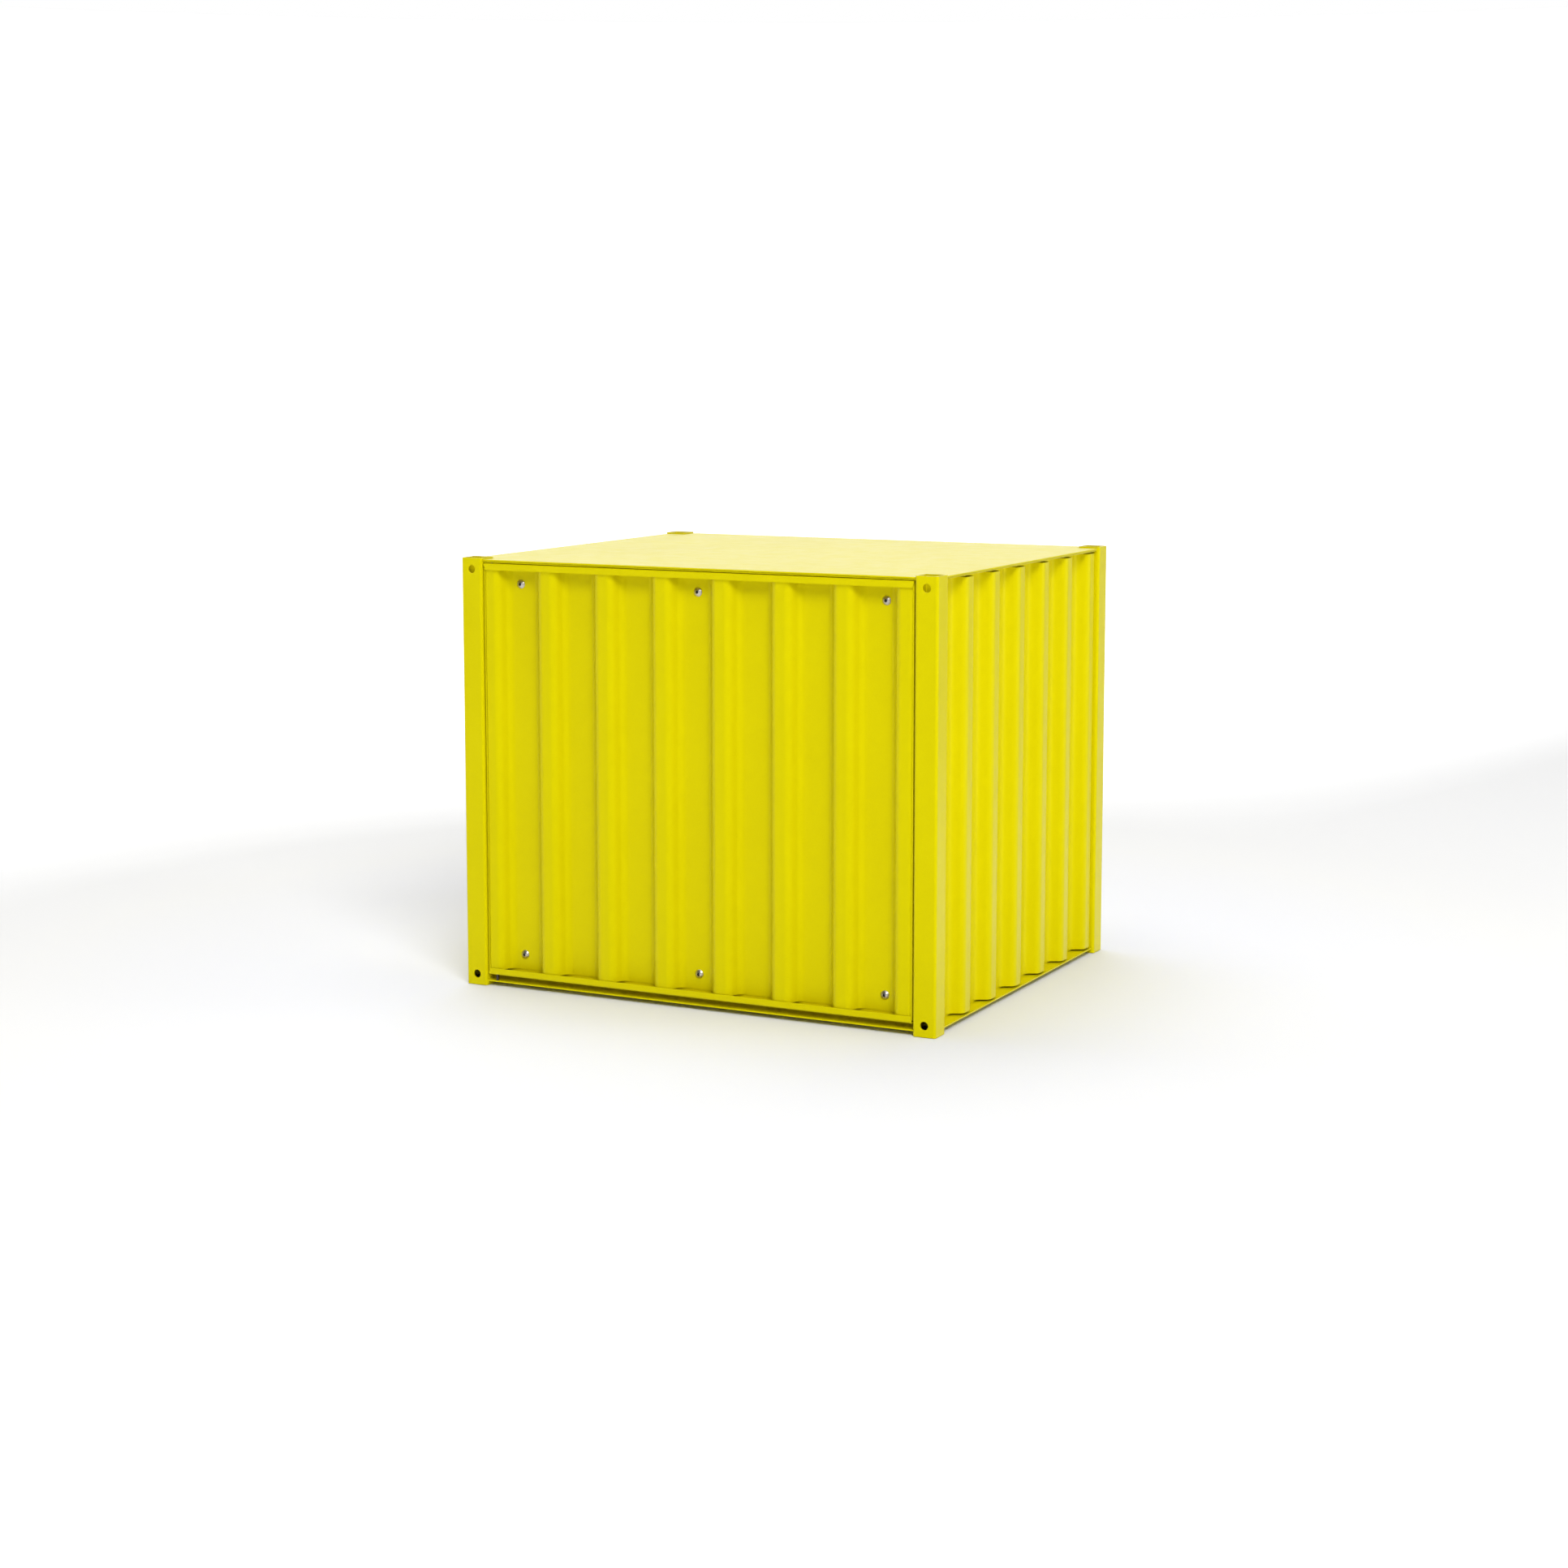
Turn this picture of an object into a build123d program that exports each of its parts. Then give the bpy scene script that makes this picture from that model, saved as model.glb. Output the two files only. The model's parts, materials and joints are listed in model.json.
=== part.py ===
from build123d import *
import os

# Storage cabinet in the form of a small shipping container, as separate pieces.
# Millimetres, +Z up, origin on the floor under the middle of the cabinet. The front is on the -Y side.
# A setback is a distance inwards from the outer plane of the corner posts.
# The door turns on two pins near its -X edge and is held by a push latch near its +X edge.

os.makedirs("parts", exist_ok=True)

# Overall size
width = 550.0
depth = 470.0
height = 460.0

# Corner posts
post = 25.0
post_wall = 2.0
post_corner_radius = 3.0
post_hole_diameter = 8.5
post_hole_inset = 12.0
post_hole_round = 0.9
end_plug_height = 6.0
end_plug_stand = 0.5
end_plug_corner_radius = 1.5

# Sheet gauges and clearances
base_rail_sheet = 1.5
top_rail_sheet = 1.2
wall_sheet = 0.8
door_sheet = 1.0
top_sheet = 1.5
top_edge_round = 0.5
floor_sheet = 1.5
bend_radius = 0.8
post_gap = 0.5
sheet_end_gap = 2.0

# Corrugation
pitch = 68.7
crest_width = 19.5
slant_run = 6.0
corrugation_depth = 14.0
corrugation_bend = 8.5
side_crest_offset = 6.65
door_crest_offset = 32.15
rear_crest_offset = 0.0

# Setbacks
panel_setback = 2.0
flange_setback = 3.0
wall_crest_setback = 4.0
door_setback = 2.0
door_crest_recess = 2.0
door_stop_gap = 3.0

# Heights
post_proud = 1.5
tape_thickness = 0.4
tape_setback = 8.0
top_web_height = 15.0
base_lift = 4.8
base_web_height = 16.7
base_flange_width = 16.0
door_gap_above = 0.8
door_gap_below = 6.3

# Door
door_gap_hinge_side = 1.5
door_gap_free_side = 2.0
door_lip = 7.0
door_outer_radius = 1.8
door_side_flange_drop = 1.2
door_relief = 1.5
door_skin_overlap = 1.0
door_screw_side_inset = 36.25
door_screw_inset = 22.0

# Pivots
pivot_setback = 6.0
swing_clearance = 0.6
pin_diameter = 3.0
pin_engagement = 3.5
pin_fit = 0.05
pin_tip_chamfer = 0.4
pivot_block_width = 13.0
pivot_block_height = 4.4
pivot_block_gap = 0.2
pin_passage = 0.3

# M5 button-head screws and hexagon nuts
screw_diameter = 5.0
head_diameter = 9.5
head_height = 2.75
head_edge = 0.45
socket_flats = 3.0
socket_depth = 1.9
socket_countersink = 0.35
countersink_taper = 45.0
screw_clearance = 0.25
nut_flats = 8.0
nut_height = 4.0
screw_end = 1.0
floor_screw_inset = 60.0

# Buffer pads
pad_diameter = 6.0
pad_clearance = 2.0
pad_inset = 60.0
pad_taper = 15.0

# Push latch
latch_from_free_edge = 68.0
latch_below_web = 11.6
latch_bore_diameter = 7.1
latch_fit = 0.05
latch_barrel_diameter = 10.0
latch_collar_diameter = 16.0
latch_collar_length = 1.4
latch_barrel_length = 50.0
latch_end_wall = 2.0
plunger_length = 30.0
plunger_clearance = 0.3
magnet_diameter = 5.0
magnet_length = 2.5
spring_wire = 0.6
spring_clearance = 0.85
spring_pitch = 2.4
spring_gap = 0.3
lock_ring_flats = 14.0
lock_ring_length = 3.0
bracket_sheet = 1.5
bracket_width = 40.0
bracket_height = 35.0
bracket_flange = 12.0
latch_screw_spacing = 26.0
latch_screw_diameter = 3.0
latch_screw_head_diameter = 5.5
latch_screw_head_height = 2.0
latch_screw_head_taper = 20.0
latch_screw_tip = 0.6

# Places worked out from the sizes above
half_width = width / 2
half_depth = depth / 2
post_bottom = end_plug_stand
top_panel_top = height - post_proud
top_panel_bottom = top_panel_top - top_sheet
top_flange_top = top_panel_bottom - tape_thickness
top_flange_bottom = top_flange_top - top_rail_sheet
top_web_bottom = top_flange_top - top_web_height
shelf_top = base_lift + base_rail_sheet
floor_bottom = base_lift + base_web_height
floor_top = floor_bottom + floor_sheet
wall_web_setback = wall_crest_setback + corrugation_depth + wall_sheet
door_depth = door_crest_recess + corrugation_depth + wall_sheet + door_sheet
door_back_setback = door_setback + door_depth
front_web_setback = door_back_setback + door_stop_gap
door_left = -half_width + post + door_gap_hinge_side
door_right = half_width - post - door_gap_free_side
door_bottom = shelf_top + door_gap_below
door_top = top_flange_bottom - door_gap_above
door_centre = (door_left + door_right) / 2
screw_hole_radius = screw_diameter / 2 + screw_clearance

# The pivots stand just far enough from the post for the door's front corner to swing past it.
pivot_reach = pivot_setback - door_setback
swing_slack = door_gap_hinge_side - swing_clearance
pivot_from_post = (door_gap_hinge_side**2 + pivot_reach**2 - swing_clearance**2) / (2 * swing_slack)
pivot_x = -half_width + post + pivot_from_post
pivot_y = -half_depth + pivot_setback

up = Vector(0, 0, 1)
inwards = {
    "front": Vector(0, 1, 0),
    "rear": Vector(0, -1, 0),
    "left": Vector(1, 0, 0),
    "right": Vector(-1, 0, 0),
}
half_spans = {"front": half_depth, "rear": half_depth, "left": half_width, "right": half_width}
rail_lengths = {
    "front": width - 2 * post,
    "rear": width - 2 * post,
    "left": depth - 2 * post,
    "right": depth - 2 * post,
}
web_setbacks = {
    "front": front_web_setback,
    "rear": wall_web_setback,
    "left": wall_web_setback,
    "right": wall_web_setback,
}
corners = {
    "front_left": (-1, -1),
    "front_right": (1, -1),
    "rear_left": (-1, 1),
    "rear_right": (1, 1),
}


def save(piece, label):
    """Label a finished piece and write it as its own file."""
    piece.part.label = label
    export_step(piece.part, f"parts/{label}.step")


def section_plane(side):
    """Upright plane across one side: local x runs inwards from the posts' outer plane, local y is up."""
    inward = inwards[side]
    return Plane(origin=inward * -half_spans[side], x_dir=inward, z_dir=inward.cross(up))


def plan_plane(side, level):
    """Level plane on one side: local x runs along the wall, local y inwards from the posts' outer plane."""
    inward = inwards[side]
    return Plane(origin=inward * -half_spans[side] + up * level, x_dir=inward.cross(up), z_dir=up)


def front_plane(setback):
    """Upright plane that faces the front, at a setback from it: local x is +X, local y is up."""
    return Plane.XZ.offset(half_depth - setback)


def corrugated_sheet(side, crest_setback, crest_offset, start, end, bottom, top, hole_places=()):
    """Corrugated sheet on one side of the cabinet, cut off at start and end along the wall."""
    valley_setback = crest_setback + corrugation_depth
    half_crest = crest_width / 2
    first = int((start - crest_offset) // pitch) - 1
    last = int((end - crest_offset) // pitch) + 2
    bends = []
    for number in range(first, last + 1):
        crest = crest_offset + number * pitch
        bends.append((crest - half_crest - slant_run, valley_setback))
        bends.append((crest - half_crest, crest_setback))
        bends.append((crest + half_crest, crest_setback))
        bends.append((crest + half_crest + slant_run, valley_setback))
    plane = plan_plane(side, bottom)
    with BuildPart() as sheet:
        with BuildSketch(plane):
            with BuildLine():
                FilletPolyline(*bends, radius=corrugation_bend)
                offset(amount=wall_sheet, side=Side.LEFT)
            make_face()
        extrude(amount=top - bottom)
        for cut, keep in ((start, Keep.TOP), (end, Keep.BOTTOM)):
            origin = plane.from_local_coords(Vector(cut, 0, 0))
            split(bisect_by=Plane(origin=origin, z_dir=plane.x_dir), keep=keep)
        if hole_places:
            with BuildSketch(front_plane(valley_setback)):
                with Locations(*hole_places):
                    Circle(screw_hole_radius)
            extrude(amount=-wall_sheet, mode=Mode.SUBTRACT)
    return sheet


def base_rail(side):
    """Z-section rail between two posts: shelf outwards at the bottom, floor support inwards at the top."""
    web = web_setbacks[side] + base_rail_sheet
    support = floor_bottom - base_rail_sheet
    outline = [
        (flange_setback, base_lift),
        (web, base_lift),
        (web, support),
        (web + base_flange_width, support),
    ]
    with BuildPart() as rail:
        with BuildSketch(section_plane(side)):
            with BuildLine():
                FilletPolyline(*outline, radius=(bend_radius + base_rail_sheet, bend_radius))
                offset(amount=base_rail_sheet, side=Side.LEFT)
            make_face()
        extrude(amount=rail_lengths[side] / 2, both=True)
        if side in ("front", "rear"):
            # The inward flange stops short of the side rails' flanges.
            clear = wall_web_setback + base_rail_sheet + base_flange_width + post_gap - post
            with BuildSketch(plan_plane(side, support - bend_radius)):
                for end in (-1, 1):
                    with Locations((end * (rail_lengths[side] - clear) / 2, post)):
                        Rectangle(clear, 2 * base_flange_width, align=(Align.CENTER, Align.MIN))
            extrude(amount=floor_bottom, mode=Mode.SUBTRACT)
        else:
            with BuildSketch(Plane.XY.offset(floor_bottom)):
                with Locations(*floor_screw_places):
                    Circle(screw_hole_radius)
            extrude(amount=-base_rail_sheet, mode=Mode.SUBTRACT)
        if side == "front":
            with BuildSketch(Plane.XY.offset(base_lift)):
                with Locations((pivot_x, pivot_y)):
                    Circle(pin_diameter / 2)
            extrude(amount=base_rail_sheet, mode=Mode.SUBTRACT)
    return rail


def top_rail(side):
    """Angle-section rail between two posts: flange outwards at the top, web down."""
    web = web_setbacks[side] + top_rail_sheet
    outline = [(flange_setback, top_flange_top), (web, top_flange_top), (web, top_web_bottom)]
    with BuildPart() as rail:
        with BuildSketch(section_plane(side)):
            with BuildLine():
                FilletPolyline(*outline, radius=bend_radius + top_rail_sheet)
                offset(amount=top_rail_sheet, side=Side.RIGHT)
            make_face()
        extrude(amount=rail_lengths[side] / 2, both=True)
        if side == "front":
            with BuildSketch(Plane.XY.offset(top_flange_top)):
                with Locations((pivot_x, pivot_y)):
                    Circle(pin_diameter / 2)
            extrude(amount=-top_rail_sheet, mode=Mode.SUBTRACT)
            with BuildSketch(front_plane(front_web_setback)):
                with Locations(*latch_screw_places):
                    Circle(latch_screw_diameter / 2)
            extrude(amount=-top_rail_sheet, mode=Mode.SUBTRACT)
    return rail


def button_screws(seats, length):
    """Button-head socket screws with the underside of each head on a seat plane, shanks backwards."""
    with BuildPart() as screws:
        for seat in seats:
            through_axis = Plane(origin=seat.origin, x_dir=seat.x_dir, z_dir=-seat.y_dir)
            with BuildSketch(through_axis):
                with BuildLine():
                    Polyline((0, head_height), (0, 0), (head_diameter / 2, 0), (head_diameter / 2, head_edge))
                    TangentArc((0, head_height), (head_diameter / 2, head_edge), tangent=(1, 0))
                make_face()
            revolve(axis=Axis(seat.origin, seat.z_dir))
            with BuildSketch(seat.offset(head_height)):
                RegularPolygon(socket_flats / 2, 6, major_radius=False)
            extrude(amount=-socket_depth, mode=Mode.SUBTRACT)
            with BuildSketch(seat.offset(head_height)):
                Circle(socket_flats / 2 + socket_countersink)
            extrude(amount=-socket_countersink, taper=countersink_taper, mode=Mode.SUBTRACT)
            with BuildSketch(seat):
                Circle(screw_diameter / 2)
            extrude(amount=-length)
    return screws


def hexagon_nuts(seats):
    """Hexagon nuts standing on seat planes, bored for the screws' shanks."""
    with BuildPart() as nuts:
        for seat in seats:
            with BuildSketch(seat):
                RegularPolygon(nut_flats / 2, 6, major_radius=False)
                Circle(screw_diameter / 2, mode=Mode.SUBTRACT)
            extrude(amount=nut_height)
    return nuts


def seat_in_valley(place):
    """Nearest place to the one asked for where a screw head lies flat in a valley of the door skin."""
    number = (place - door_crest_offset) // pitch
    middle = door_crest_offset + (number + 0.5) * pitch
    slant_length = (slant_run**2 + corrugation_depth**2) ** 0.5
    bend_run = corrugation_bend * (slant_length - slant_run) / corrugation_depth
    slack = (pitch - crest_width) / 2 - slant_run - bend_run - head_diameter / 2
    return max(middle - slack, min(middle + slack, place))


# Corner posts: open square tubes with a hole in the outer face near each end, on end plugs
inner = post - 2 * post_wall
for corner, (side, end) in corners.items():
    centre = (side * (half_width - post / 2), end * (half_depth - post / 2))
    with BuildPart() as tube:
        with BuildSketch(Plane.XY.offset(post_bottom)):
            with Locations(centre):
                RectangleRounded(post, post, post_corner_radius)
                RectangleRounded(inner, inner, post_corner_radius - post_wall, mode=Mode.SUBTRACT)
        extrude(amount=height - post_bottom)
        with BuildSketch(Plane.XZ.offset(-end * half_depth)):
            with Locations((centre[0], post_hole_inset), (centre[0], height - post_hole_inset)):
                Circle(post_hole_diameter / 2)
        extrude(amount=end * post_wall, mode=Mode.SUBTRACT)
        rims = tube.edges().filter_by(GeomType.CIRCLE).filter_by(
            lambda edge: abs(edge.radius - post_hole_diameter / 2) < 0.01
            and abs(edge.arc_center.Y - end * half_depth) < 0.01
        )
        fillet(rims, post_hole_round)
    save(tube, f"post_{corner}")

    with BuildPart() as plug:
        with BuildSketch():
            with Locations(centre):
                RectangleRounded(inner, inner, end_plug_corner_radius)
        extrude(amount=end_plug_height)
        chamfer(plug.faces().sort_by(Axis.Z)[0].edges(), end_plug_stand)
    save(plug, f"end_plug_{corner}")

# Places of the fasteners
door_screw_span = (door_right - door_left) / 2 - door_screw_side_inset
screw_xs = [seat_in_valley(door_centre + step * door_screw_span) for step in (-1, 0, 1)]
screw_zs = [door_bottom + door_screw_inset, door_top - door_screw_inset]
door_screw_places = [(x, z) for x in screw_xs for z in screw_zs]
floor_screw_setback = wall_web_setback + base_rail_sheet + base_flange_width / 2
floor_screw_places = [
    (side * (half_width - floor_screw_setback), end * (half_depth - floor_screw_inset))
    for side, end in corners.values()
]
latch_x = door_right - latch_from_free_edge
latch_z = top_web_bottom - latch_below_web
latch_screw_z = (top_web_bottom + top_flange_bottom) / 2
latch_screw_places = [(latch_x + step * latch_screw_spacing / 2, latch_screw_z) for step in (-1, 1)]
web_back = front_web_setback + top_rail_sheet

# Rails between the posts
for side in inwards:
    save(base_rail(side), f"base_rail_{side}")
    save(top_rail(side), f"top_rail_{side}")

# Corrugated walls, their valleys against the webs of the rails
wall_bottom = shelf_top + sheet_end_gap
wall_top = top_flange_bottom - sheet_end_gap
crest_offsets = {"left": side_crest_offset, "right": -side_crest_offset, "rear": rear_crest_offset}
for side, crest_offset in crest_offsets.items():
    half_length = rail_lengths[side] / 2 - post_gap
    wall = corrugated_sheet(
        side, wall_crest_setback, crest_offset, -half_length, half_length, wall_bottom, wall_top
    )
    save(wall, f"wall_panel_{side}")

# Top panel, notched round the posts, on strips of bonding tape
with BuildPart() as top_panel:
    with BuildSketch(Plane.XY.offset(top_panel_bottom)):
        Rectangle(width - 2 * panel_setback, depth - 2 * panel_setback)
        with GridLocations(width, depth, 2, 2):
            Rectangle(2 * (post + post_gap), 2 * (post + post_gap), mode=Mode.SUBTRACT)
    extrude(amount=top_sheet)
    fillet(top_panel.faces().sort_by(Axis.Z)[-1].edges(), top_edge_round)
save(top_panel, "top_panel")

with BuildPart() as tape:
    for side in inwards:
        tape_length = rail_lengths[side] - 2 * tape_setback
        tape_width = web_setbacks[side] - bend_radius - tape_setback
        with BuildSketch(plan_plane(side, top_flange_top)):
            with Locations((0, tape_setback)):
                Rectangle(tape_length, tape_width, align=(Align.CENTER, Align.MIN))
        extrude(amount=tape_thickness)
save(tape, "bonding_tape")

# Floor panel on the inward flanges of the base rails
floor_half_width = half_width - wall_web_setback - base_rail_sheet - post_gap
floor_front = -half_depth + front_web_setback + base_rail_sheet
floor_rear = half_depth - wall_web_setback - base_rail_sheet - post_gap
with BuildPart() as floor_panel:
    with BuildSketch(Plane.XY.offset(floor_bottom)):
        with Locations((0, (floor_front + floor_rear) / 2)):
            Rectangle(2 * floor_half_width, floor_rear - floor_front)
        with GridLocations(width, depth, 2, 2):
            Rectangle(2 * (post + post_gap), 2 * (post + post_gap), mode=Mode.SUBTRACT)
        with Locations(*floor_screw_places):
            Circle(screw_hole_radius, mode=Mode.SUBTRACT)
    extrude(amount=floor_sheet)
save(floor_panel, "floor_panel")

floor_clamp = floor_sheet + base_rail_sheet
seats = [Plane(origin=(x, y, floor_top)) for x, y in floor_screw_places]
floor_screws = button_screws(seats, floor_clamp + nut_height + screw_end)
save(floor_screws, "floor_screws")
seats = [Plane(origin=(x, y, floor_top - floor_clamp - nut_height)) for x, y in floor_screw_places]
floor_nuts = hexagon_nuts(seats)
save(floor_nuts, "floor_nuts")

# Door tray: a pan with a lip along its top and bottom and plain flanges at its sides
door_width = door_right - door_left
door_height = door_top - door_bottom
door_middle = (door_centre, (door_bottom + door_top) / 2)
with BuildPart() as door_tray:
    with BuildSketch(front_plane(door_setback)):
        with Locations(door_middle):
            Rectangle(door_width, door_height)
    extrude(amount=-door_depth)
    back_edges = door_tray.faces().sort_by(Axis.Y)[-1].edges()
    lip_edges = door_tray.faces().sort_by(Axis.Y)[0].edges().filter_by(Axis.X)
    fillet(back_edges + lip_edges, door_outer_radius)
    with BuildSketch(front_plane(door_setback + door_sheet)):
        with Locations(door_middle):
            Rectangle(door_width - 2 * door_sheet, door_height - 2 * door_sheet)
    extrude(amount=-(door_depth - 2 * door_sheet), mode=Mode.SUBTRACT)
    with BuildSketch(front_plane(door_setback)):
        with Locations(door_middle):
            Rectangle(door_width, door_height - 2 * door_lip)
    extrude(amount=-door_sheet, mode=Mode.SUBTRACT)
    with BuildSketch(front_plane(door_setback)):
        with Locations(door_middle):
            Rectangle(door_width, door_height - 2 * (door_outer_radius + door_relief))
            Rectangle(door_width - 2 * door_sheet, door_height, mode=Mode.SUBTRACT)
    extrude(amount=-door_side_flange_drop, mode=Mode.SUBTRACT)
    for edge_x in (door_left, door_right):
        for edge_z in (door_bottom + door_sheet + door_relief / 2, door_top - door_sheet - door_relief / 2):
            with BuildSketch(front_plane(door_setback + door_sheet)):
                with Locations((edge_x, edge_z)):
                    Rectangle(2 * door_sheet, door_relief)
            extrude(amount=-(door_depth - door_sheet - door_outer_radius), mode=Mode.SUBTRACT)
    with BuildSketch(front_plane(door_back_setback)):
        with Locations(*door_screw_places):
            Circle(screw_hole_radius)
    extrude(amount=door_sheet, mode=Mode.SUBTRACT)
    with BuildSketch(Plane.XY.offset(door_bottom)):
        with Locations((pivot_x, pivot_y)):
            Circle(pin_diameter / 2 + pin_passage)
    extrude(amount=door_sheet, mode=Mode.SUBTRACT)
    with BuildSketch(Plane.XY.offset(door_top)):
        with Locations((pivot_x, pivot_y)):
            Circle(pin_diameter / 2 + pin_passage)
    extrude(amount=-door_sheet, mode=Mode.SUBTRACT)
save(door_tray, "door_tray")

# Door skin: corrugated sheet in the tray, screwed through its valleys
skin_gap = door_sheet + post_gap
skin_bottom = door_bottom + door_lip - door_skin_overlap
skin_top = door_top - door_lip + door_skin_overlap
crest_setback = door_setback + door_crest_recess
door_skin = corrugated_sheet(
    "front",
    crest_setback,
    door_crest_offset,
    door_left + skin_gap,
    door_right - skin_gap,
    skin_bottom,
    skin_top,
    door_screw_places,
)
save(door_skin, "door_skin")
valley_setback = crest_setback + corrugation_depth

seats = [Plane(origin=(x, -half_depth + valley_setback, z), z_dir=(0, -1, 0)) for x, z in door_screw_places]
door_screws = button_screws(seats, wall_sheet + door_sheet + nut_height + screw_end)
save(door_screws, "door_screws")
seats = [Plane(origin=(x, -half_depth + door_back_setback, z), z_dir=(0, 1, 0)) for x, z in door_screw_places]
door_nuts = hexagon_nuts(seats)
save(door_nuts, "door_nuts")

# Pivots: a pin pressed into each front rail, and a blind block behind each lip of the door
block_front = door_setback + door_sheet
block_depth = door_depth - 2 * door_sheet - pivot_block_gap
pivots = {
    "lower": (base_lift, door_bottom + door_sheet, 1),
    "upper": (top_flange_top, door_top - door_sheet, -1),
}
for level, (foot, mouth, way) in pivots.items():
    with BuildPart() as pin:
        with BuildSketch(Plane.XY.offset(foot)):
            with Locations((pivot_x, pivot_y)):
                Circle(pin_diameter / 2)
        extrude(amount=mouth - foot + way * pin_engagement)
        tip = pin.edges().filter_by(GeomType.CIRCLE).sort_by(Axis.Z)[-1 if way > 0 else 0]
        chamfer(tip, pin_tip_chamfer)
    save(pin, f"pivot_pin_{level}")

    with BuildPart() as block:
        with BuildSketch(Plane.XY.offset(mouth)):
            with Locations((pivot_x, -half_depth + block_front)):
                Rectangle(pivot_block_width, block_depth, align=(Align.CENTER, Align.MIN))
        extrude(amount=way * pivot_block_height)
        with BuildSketch(Plane.XY.offset(mouth)):
            with Locations((pivot_x, pivot_y)):
                Circle(pin_diameter / 2 + pin_fit)
        extrude(amount=way * (pin_engagement + pin_fit), mode=Mode.SUBTRACT)
    save(block, f"pivot_block_{level}")

# Buffer pads on the webs of the front rails, behind the door's edges
pad_xs = (-half_width + pad_inset, half_width - pad_inset)
pad_zs = (
    floor_bottom - base_rail_sheet - bend_radius - pad_diameter / 2,
    top_web_bottom + pad_diameter,
)
pad_length = door_stop_gap - pad_clearance
with BuildPart() as buffer_pads:
    with BuildSketch(front_plane(front_web_setback)):
        with Locations(*[(x, z) for x in pad_xs for z in pad_zs]):
            Circle(pad_diameter / 2)
    extrude(amount=pad_length, taper=pad_taper)
save(buffer_pads, "buffer_pads")

# Push latch: bracket on the web of the front top rail, housing, lock ring, plunger, magnet and spring
latch_y = -half_depth + web_back
housing_plane = Plane(origin=(latch_x, latch_y, latch_z), z_dir=(0, 1, 0))
bore_length = latch_collar_length + latch_barrel_length - latch_end_wall
with BuildPart() as latch_bracket:
    with BuildSketch(front_plane(web_back)):
        with Locations((latch_x, top_flange_bottom - bend_radius - top_rail_sheet)):
            Rectangle(bracket_width, bracket_height, align=(Align.CENTER, Align.MAX))
        with Locations((latch_x, latch_z)):
            Circle(latch_barrel_diameter / 2, mode=Mode.SUBTRACT)
        with Locations(*latch_screw_places):
            Circle(latch_screw_diameter / 2, mode=Mode.SUBTRACT)
    extrude(amount=-bracket_sheet)
    bracket_bottom = latch_bracket.faces().sort_by(Axis.Z)[0].center().Z
    with BuildSketch(front_plane(web_back)):
        with Locations((latch_x, bracket_bottom)):
            Rectangle(bracket_width, bracket_sheet, align=(Align.CENTER, Align.MAX))
    extrude(amount=-bracket_flange)
save(latch_bracket, "latch_bracket")

with BuildPart() as latch_screws:
    for x, z in latch_screw_places:
        seat = Plane(origin=(x, latch_y + bracket_sheet, z), z_dir=(0, 1, 0))
        with BuildSketch(seat):
            Circle(latch_screw_head_diameter / 2)
        extrude(amount=latch_screw_head_height, taper=latch_screw_head_taper)
        with BuildSketch(seat):
            Circle(latch_screw_diameter / 2)
        extrude(amount=-(bracket_sheet + top_rail_sheet + latch_screw_tip))
save(latch_screws, "latch_screws")

with BuildPart() as latch_housing:
    with BuildSketch(housing_plane):
        Circle(latch_collar_diameter / 2)
    extrude(amount=-latch_collar_length)
    with BuildSketch(housing_plane):
        Circle(latch_barrel_diameter / 2)
    extrude(amount=latch_barrel_length)
    with BuildSketch(housing_plane.offset(-latch_collar_length)):
        Circle(latch_bore_diameter / 2)
    extrude(amount=bore_length, mode=Mode.SUBTRACT)
save(latch_housing, "latch_housing")

with BuildPart() as lock_ring:
    with BuildSketch(housing_plane.offset(bracket_sheet)):
        RegularPolygon(lock_ring_flats / 2, 6, major_radius=False)
        Circle(latch_barrel_diameter / 2, mode=Mode.SUBTRACT)
    extrude(amount=lock_ring_length)
save(lock_ring, "latch_lock_ring")

plunger_setback = door_back_setback + plunger_clearance
plunger_plane = housing_plane.offset(plunger_setback - web_back)
with BuildPart() as plunger:
    with BuildSketch(plunger_plane):
        Circle(latch_bore_diameter / 2 - latch_fit)
    extrude(amount=plunger_length)
    with BuildSketch(plunger_plane):
        Circle(magnet_diameter / 2)
    extrude(amount=magnet_length, mode=Mode.SUBTRACT)
save(plunger, "latch_plunger")

with BuildPart() as magnet:
    with BuildSketch(plunger_plane):
        Circle(magnet_diameter / 2)
    extrude(amount=magnet_length)
save(magnet, "latch_magnet")

spring_radius = (latch_bore_diameter - spring_wire) / 2 - spring_clearance
spring_start = plunger_setback - web_back + plunger_length + spring_gap + spring_wire / 2
spring_end = latch_barrel_length - latch_end_wall - spring_gap - spring_wire / 2
with BuildPart() as spring:
    with BuildLine() as coil:
        Helix(
            pitch=spring_pitch,
            height=spring_end - spring_start,
            radius=spring_radius,
            center=housing_plane.offset(spring_start).origin,
            direction=(0, 1, 0),
        )
    with BuildSketch(coil.line ^ 0):
        Circle(spring_wire / 2)
    sweep(is_frenet=True)
save(spring, "latch_spring")
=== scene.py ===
import json
import math

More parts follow.
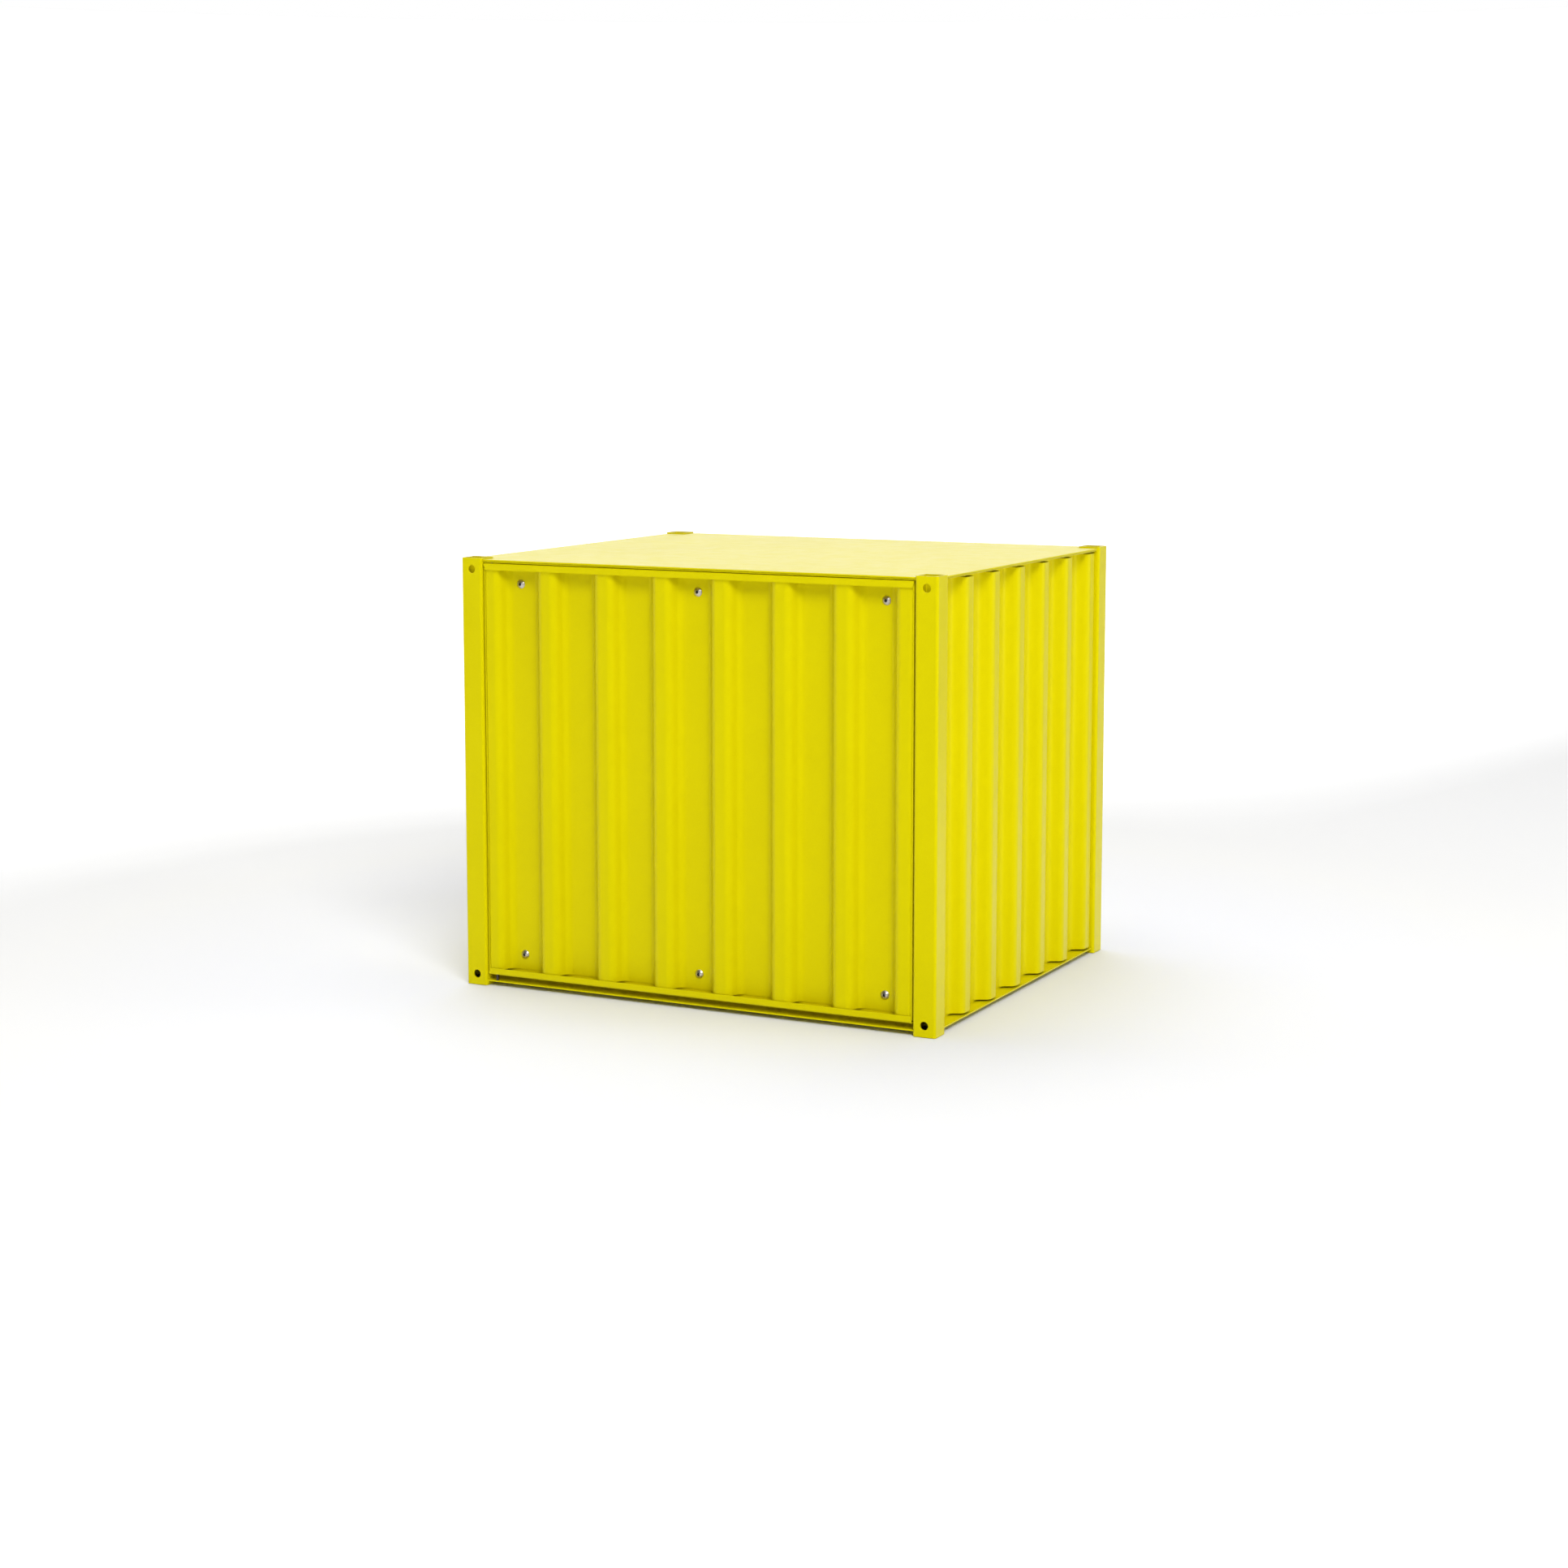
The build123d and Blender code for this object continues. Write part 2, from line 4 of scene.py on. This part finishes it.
import bpy
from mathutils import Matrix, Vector


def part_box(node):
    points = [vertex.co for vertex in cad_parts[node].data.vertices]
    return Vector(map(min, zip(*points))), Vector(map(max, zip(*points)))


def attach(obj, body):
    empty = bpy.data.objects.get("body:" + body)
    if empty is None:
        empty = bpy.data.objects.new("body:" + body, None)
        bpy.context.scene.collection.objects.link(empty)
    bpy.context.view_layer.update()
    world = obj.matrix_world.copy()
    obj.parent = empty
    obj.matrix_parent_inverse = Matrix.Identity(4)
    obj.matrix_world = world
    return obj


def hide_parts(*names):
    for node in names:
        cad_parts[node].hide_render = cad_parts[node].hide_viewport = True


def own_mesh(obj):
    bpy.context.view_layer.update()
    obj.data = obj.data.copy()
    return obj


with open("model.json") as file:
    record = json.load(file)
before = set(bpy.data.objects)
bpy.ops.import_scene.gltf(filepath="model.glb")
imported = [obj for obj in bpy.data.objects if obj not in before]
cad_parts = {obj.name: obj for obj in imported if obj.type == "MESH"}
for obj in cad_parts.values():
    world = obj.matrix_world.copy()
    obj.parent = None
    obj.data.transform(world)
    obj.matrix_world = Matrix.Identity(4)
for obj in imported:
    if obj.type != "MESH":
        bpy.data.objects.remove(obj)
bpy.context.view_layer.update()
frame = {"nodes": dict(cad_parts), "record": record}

MM = 0.001
HEAD_RADIUS = 4.75 * MM
SOCKET_REACH = 1.55 * MM
SOCKET_DEPTHS = (0.12 * MM, 2.3 * MM)
SPRING_WIRE = 0.6 * MM


# ---------------------------------------------------------------- materials


class Graph:
    """Small helper that adds and links shader nodes."""

    def __init__(self, name):
        self.material = bpy.data.materials.new(name)
        self.material.use_nodes = True
        self.tree = self.material.node_tree
        self.tree.nodes.clear()
        self.out = self.tree.nodes.new("ShaderNodeOutputMaterial")
        self.shader = self.tree.nodes.new("ShaderNodeBsdfPrincipled")
        self.tree.links.new(self.shader.outputs["BSDF"], self.out.inputs["Surface"])
        self.coords = self.tree.nodes.new("ShaderNodeTexCoord").outputs["Object"]

    def node(self, kind, **settings):
        made = self.tree.nodes.new("ShaderNode" + kind)
        for key, value in settings.items():
            setattr(made, key, value)
        return made

    def link(self, source, target):
        self.tree.links.new(source, target)

    def noise(self, scale, detail, roughness):
        made = self.node("TexNoise")
        made.inputs["Scale"].default_value = scale
        made.inputs["Detail"].default_value = detail
        made.inputs["Roughness"].default_value = roughness
        self.link(self.coords, made.inputs["Vector"])
        return made.outputs["Fac"]

    def ranged(self, value, from_min, from_max, to_min, to_max):
        made = self.node("MapRange")
        for key, number in zip(
            ("From Min", "From Max", "To Min", "To Max"), (from_min, from_max, to_min, to_max)
        ):
            made.inputs[key].default_value = number
        self.link(value, made.inputs["Value"])
        return made.outputs["Result"]

    def math(self, operation, first, second):
        made = self.node("Math", operation=operation)
        for slot, value in zip(made.inputs, (first, second)):
            if isinstance(value, (int, float)):
                slot.default_value = value
            else:
                self.link(value, slot)
        return made.outputs["Value"]

    def mix(self, factor, first, second):
        made = self.node("Mix", data_type="RGBA")
        for key, value in ((0, factor), (6, first), (7, second)):
            if isinstance(value, (int, float)):
                made.inputs[key].default_value = value
            elif isinstance(value, tuple):
                made.inputs[key].default_value = (*value, 1.0)
            else:
                self.link(value, made.inputs[key])
        return made.outputs[2]

    def bump(self, height, strength, distance):
        made = self.node("Bump")
        made.inputs["Strength"].default_value = strength
        made.inputs["Distance"].default_value = distance
        self.link(height, made.inputs["Height"])
        return made.outputs["Normal"]

    def set(self, **inputs):
        for key, value in inputs.items():
            slot = self.shader.inputs[key.replace("_", " ")]
            if isinstance(value, bpy.types.NodeSocket):
                self.link(value, slot)
            elif isinstance(value, tuple):
                slot.default_value = (*value, 1.0)
            else:
                slot.default_value = value


def powder_coat():
    """Smooth satin powder coat: faint orange peel and tiny inclusions."""
    g = Graph("powder_yellow")
    cloud = g.noise(9.0, 3.0, 0.55)
    grain = g.noise(900.0, 2.0, 0.6)
    speck = g.node("TexVoronoi", feature="F1")
    speck.inputs["Scale"].default_value = 210.0
    g.link(g.coords, speck.inputs["Vector"])
    dot = g.ranged(speck.outputs["Distance"], 0.03, 0.07, 1.0, 0.0)
    tone = g.ranged(cloud, 0.3, 0.7, 0.0, 1.0)
    base = g.mix(tone, (0.735, 0.645, 0.0006), (0.715, 0.623, 0.0005))
    base = g.mix(g.ranged(grain, 0.35, 0.65, 0.0, 0.22), base, (0.80, 0.71, 0.003))
    base = g.mix(g.math("MULTIPLY", dot, 0.35), base, (0.42, 0.34, 0.003))
    peel = g.noise(420.0, 2.0, 0.45)
    fine = g.noise(2100.0, 1.0, 0.5)
    height = g.math("ADD", peel, g.math("MULTIPLY", fine, 0.22))
    g.set(
        Base_Color=base,
        Roughness=g.ranged(g.noise(60.0, 3.0, 0.6), 0.3, 0.7, 0.295, 0.36),
        Normal=g.bump(height, 0.10, 0.00035),
    )
    g.shader.inputs["Specular Tint"].default_value = (1.0, 0.93, 0.02, 1.0)
    return g.material


def steel(name, colour, rough, scratch_scale):
    g = Graph(name)
    wave = g.noise(scratch_scale, 4.0, 0.65)
    blotch = g.noise(140.0, 3.0, 0.6)
    dark = tuple(c * 0.82 for c in colour)
    g.set(
        Base_Color=g.mix(g.ranged(blotch, 0.3, 0.7, 0.0, 1.0), colour, dark),
        Metallic=1.0,
        Roughness=g.ranged(wave, 0.3, 0.7, rough * 0.8, rough * 1.25),
        Normal=g.bump(wave, 0.15, 0.00008),
    )
    return g.material


def moulded(name, colour, rough, grain_scale, depth):
    g = Graph(name)
    grain = g.noise(grain_scale, 3.0, 0.6)
    light = tuple(min(1.0, c * 1.35 + 0.002) for c in colour)
    g.set(
        Base_Color=g.mix(g.ranged(g.noise(45.0, 3.0, 0.6), 0.3, 0.7, 0.0, 1.0), colour, light),
        Roughness=g.ranged(grain, 0.3, 0.7, rough * 0.85, rough * 1.15),
        Normal=g.bump(grain, 0.35, depth),
    )
    return g.material


materials = {
    "powder_yellow": powder_coat(),
    "stainless": steel("stainless", (0.60, 0.565, 0.52), 0.30, 1500.0),
    "black_plastic": moulded("black_plastic", (0.022, 0.022, 0.023), 0.52, 1100.0, 0.00012),
    "tape": moulded("tape", (0.012, 0.012, 0.012), 0.85, 1700.0, 0.0002),
    "rubber": moulded("rubber", (0.030, 0.029, 0.028), 0.72, 900.0, 0.00012),
    "magnet": steel("magnet", (0.72, 0.72, 0.73), 0.16, 2600.0),
}

slot_of = {row["node"]: row["material_slot"] for row in frame["record"]["subparts"]}
# Blackened steel: the pivot pins' own finish, and also used as painted shade on the faces inside
# the screw sockets.
pin_black_and_socket_shade = steel("blackened_steel_and_socket_shade", (0.10, 0.095, 0.09), 0.42, 900.0)
for name, piece in frame["nodes"].items():
    piece.data.materials.clear()
    is_pin = name.startswith("pivot_pin")
    piece.data.materials.append(pin_black_and_socket_shade if is_pin else materials[slot_of[name]])


def paint_socket_shade(piece, centres, reach, depth_axis, limits):
    """Give the faces inside the screws' hexagon sockets the dark steel, as painted shade for the
    shadow deep in each socket.
    """
    mesh = piece.data
    mesh.materials.append(pin_black_and_socket_shade)
    for polygon in mesh.polygons:
        place = piece.matrix_world @ polygon.center
        across = [place[axis] for axis in range(3) if axis != depth_axis]
        inside = limits[0] < place[depth_axis] < limits[1]
        if inside and any(math.dist(across, centre) < reach for centre in centres):
            polygon.material_index = 1


# Painted shade: faces down inside each stainless screw socket get the dark steel, standing in for
# the shadow in the hollow.
low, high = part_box("door_screws")
screw_xs = (low[0] + HEAD_RADIUS, (low[0] + high[0]) / 2, high[0] - HEAD_RADIUS)
screw_zs = (low[2] + HEAD_RADIUS, high[2] - HEAD_RADIUS)
paint_socket_shade(
    frame["nodes"]["door_screws"],
    [(x, z) for x in screw_xs for z in screw_zs],
    reach=SOCKET_REACH,
    depth_axis=1,
    limits=(low[1] + SOCKET_DEPTHS[0], low[1] + SOCKET_DEPTHS[1]),
)


# ---------------------------------------------------------------- latch spring


def compression_spring(name, low, high, wire, active_turns, end_turns, per_turn):
    """Round-wire spring along Y that fills a box, its end turns lying against each other."""
    middle = (low + high) / 2
    radius = (high.x - low.x - wire) / 2
    length = high.y - low.y - wire
    open_length = length - 2 * end_turns * wire
    turns = active_turns + 2 * end_turns
    curve = bpy.data.curves.new(name, "CURVE")
    curve.dimensions = "3D"
    curve.bevel_depth = wire / 2
    curve.bevel_resolution = 4
    curve.use_fill_caps = True
    spline = curve.splines.new("POLY")
    count = round(turns * per_turn) + 1
    spline.points.add(count - 1)
    for number, point in enumerate(spline.points):
        turn = number / per_turn
        along = min(turn, end_turns) * wire
        along += min(max(turn - end_turns, 0), active_turns) * open_length / active_turns
        along += max(turn - end_turns - active_turns, 0) * wire
        angle = 2 * math.pi * turn
        place = (
            middle.x + radius * math.cos(angle),
            low.y + wire / 2 + along,
            middle.z + radius * math.sin(angle),
        )
        point.co = (*place, 1.0)
    shape = bpy.data.objects.new(name + "_path", curve)
    bpy.context.scene.collection.objects.link(shape)
    bpy.context.view_layer.update()
    depsgraph = bpy.context.evaluated_depsgraph_get()
    mesh = bpy.data.meshes.new_from_object(shape.evaluated_get(depsgraph))
    bpy.data.objects.remove(shape)
    for polygon in mesh.polygons:
        polygon.use_smooth = True
    spring = bpy.data.objects.new(name, mesh)
    bpy.context.scene.collection.objects.link(spring)
    return spring


spring_low, spring_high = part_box("latch_spring")
coil_spring = compression_spring(
    "latch_coil_spring",
    spring_low,
    spring_high,
    SPRING_WIRE,
    active_turns=7,
    end_turns=1.5,
    per_turn=28,
)
coil_spring.data.materials.clear()
coil_spring.data.materials.append(materials["stainless"])
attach(coil_spring, "cabinet")
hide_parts("latch_spring")
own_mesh(coil_spring)

# ---------------------------------------------------------------- stage

# Horizontal direction of the bright side of the studio, behind the object.
BACKDROP = (-0.75, 0.66, 0.0)
# Distances from the object over which the floor's painted cool tint, a colour that cancels the
# yellow light bounced onto it near the object, fades out, and then its glow comes in.
BOUNCE_TINT_REACH = (0.42, 0.85)
GLOW_REACH = (1.0, 2.6)
# Cosines of the angle to the backdrop over which the glow of the floor and the world comes in.
FLOOR_GLOW_COSINES = (0.48, 0.78)
WORLD_GLOW_COSINES = (0.4, 0.8)

floor_graph = Graph("studio_floor")
reach = floor_graph.node("VectorMath", operation="LENGTH")
floor_graph.link(floor_graph.coords, reach.inputs[0])
reach = reach.outputs["Value"]
bearing = floor_graph.node("VectorMath", operation="NORMALIZE")
floor_graph.link(floor_graph.coords, bearing.inputs[0])
behind = floor_graph.node("VectorMath", operation="DOT_PRODUCT")
floor_graph.link(bearing.outputs["Vector"], behind.inputs[0])
behind.inputs[1].default_value = BACKDROP
paper = floor_graph.ranged(floor_graph.noise(0.9, 3.0, 0.5), 0.3, 0.7, 0.0, 1.0)
# Painted light: near the object the floor is bluer and less red and green, to cancel the yellow
# light bounced off the cabinet.
bounce_cancel_tint = floor_graph.mix(paper, (0.88, 0.895, 0.99), (0.89, 0.905, 0.995))
far = floor_graph.mix(paper, (0.94, 0.94, 0.94), (0.95, 0.95, 0.95))
floor_graph.set(
    Base_Color=floor_graph.mix(floor_graph.ranged(reach, *BOUNCE_TINT_REACH, 0.0, 1.0), bounce_cancel_tint, far),
    Roughness=0.9,
    Normal=floor_graph.bump(floor_graph.noise(160.0, 3.0, 0.6), 0.05, 0.0006),
    Emission_Color=(1.0, 1.0, 1.0),
    Emission_Strength=floor_graph.math(
        "MULTIPLY",
        floor_graph.ranged(reach, *GLOW_REACH, 0.0, 1.0),
        floor_graph.ranged(behind.outputs["Value"], *FLOOR_GLOW_COSINES, 0.10, 1.0),
    ),
)
floor_graph.shader.inputs["Specular IOR Level"].default_value = 0.1


def coved_floor(reach, radius, steps, around):
    """Level floor whose edge curves up into a low wall all the way round."""
    bend = [(reach, 0.0)]
    for step in range(1, steps + 1):
        angle = math.pi / 2 * step / steps
        bend.append((reach + radius * math.sin(angle), radius * (1 - math.cos(angle))))
    points = [(0.0, 0.0, 0.0)]
    for distance, level in bend:
        for turn in range(around):
            angle = 2 * math.pi * turn / around
            points.append((distance * math.cos(angle), distance * math.sin(angle), level))
    faces = [(0, 1 + turn, 1 + (turn + 1) % around) for turn in range(around)]
    for ring in range(steps):
        inner, outer = 1 + ring * around, 1 + (ring + 1) * around
        for turn in range(around):
            after = (turn + 1) % around
            faces.append((inner + turn, outer + turn, outer + after, inner + after))
    return points, faces


floor_mesh = bpy.data.meshes.new("studio_floor")
points, faces = coved_floor(reach=7.0, radius=2.0, steps=10, around=72)
floor_mesh.from_pydata(points, [], faces)
for polygon in floor_mesh.polygons:
    polygon.use_smooth = True
floor = bpy.data.objects.new("studio_floor", floor_mesh)
floor_mesh.materials.append(floor_graph.material)
bpy.context.scene.collection.objects.link(floor)

# Dark card behind the right side, which keeps bright reflections off the side wall.
flag_graph = Graph("dark_flag")
felt = flag_graph.noise(40.0, 3.0, 0.6)
flag_graph.set(
    Base_Color=flag_graph.mix(felt, (0.02, 0.02, 0.02), (0.035, 0.035, 0.035)),
    Roughness=0.95,
)
flag_mesh = bpy.data.meshes.new("dark_flag")
flag_corners = [(0.72, 1.0, 0.01), (1.7, 1.25, 0.01), (1.7, 1.25, 0.75), (0.72, 1.0, 0.75)]
flag_mesh.from_pydata(flag_corners, [], [(0, 1, 2, 3)])
flag_mesh.materials.append(flag_graph.material)
flag = bpy.data.objects.new("dark_flag", flag_mesh)
flag.visible_camera = False
flag.visible_shadow = False
flag.visible_diffuse = False
bpy.context.scene.collection.objects.link(flag)

world = bpy.data.worlds.new("studio")
world.use_nodes = True
sky = world.node_tree
direction = sky.nodes.new("ShaderNodeVectorMath")
direction.operation = "DOT_PRODUCT"
direction.inputs[1].default_value = BACKDROP
sky.links.new(sky.nodes.new("ShaderNodeTexCoord").outputs["Generated"], direction.inputs[0])
fade = sky.nodes.new("ShaderNodeMapRange")
fade.interpolation_type = "SMOOTHSTEP"
fade.inputs["From Min"].default_value, fade.inputs["From Max"].default_value = WORLD_GLOW_COSINES
fade.inputs["To Min"].default_value = 0.08
fade.inputs["To Max"].default_value = 1.0
sky.links.new(direction.outputs["Value"], fade.inputs["Value"])
sky.nodes["Background"].inputs["Color"].default_value = (1.0, 1.0, 1.0, 1.0)
sky.links.new(fade.outputs["Result"], sky.nodes["Background"].inputs["Strength"])
bpy.context.scene.world = world


def softbox(name, place, target, size, power):
    """Rectangular area light at a place, turned towards a target."""
    light = bpy.data.lights.new(name, "AREA")
    light.shape = "RECTANGLE"
    light.size, light.size_y = size
    light.energy = power
    box = bpy.data.objects.new(name, light)
    box.location = place
    box.rotation_mode = "QUATERNION"
    box.rotation_quaternion = (Vector(target) - Vector(place)).to_track_quat("-Z", "Y")
    box.visible_camera = False
    bpy.context.scene.collection.objects.link(box)


softbox("key", (2.9, -3.6, 3.9), target=(0.0, 0.0, 0.2), size=(2.2, 2.2), power=190.0)
softbox("right_strip", (3.8, 0.9, 0.9), target=(0.0, 0.0, 0.25), size=(0.7, 1.5), power=18.0)
softbox("overhead", (-0.5, 0.3, 6.0), target=(0.0, 0.0, 0.3), size=(5.0, 5.0), power=205.0)

# ---------------------------------------------------------------- camera

camera_data = bpy.data.cameras.new("camera")
camera_data.lens = 65.04
camera_data.sensor_width = 36.0
camera_data.shift_y = -0.05
camera = bpy.data.objects.new("camera", camera_data)
camera.location = (1.3752, -2.7528, 0.6859)
camera_target = Vector((-0.0089, -0.0045, 0.2909))
camera.rotation_mode = "QUATERNION"
camera.rotation_quaternion = (camera_target - camera.location).to_track_quat("-Z", "Y")
bpy.context.scene.collection.objects.link(camera)
bpy.context.scene.camera = camera

bpy.context.scene.view_settings.view_transform = "Standard"
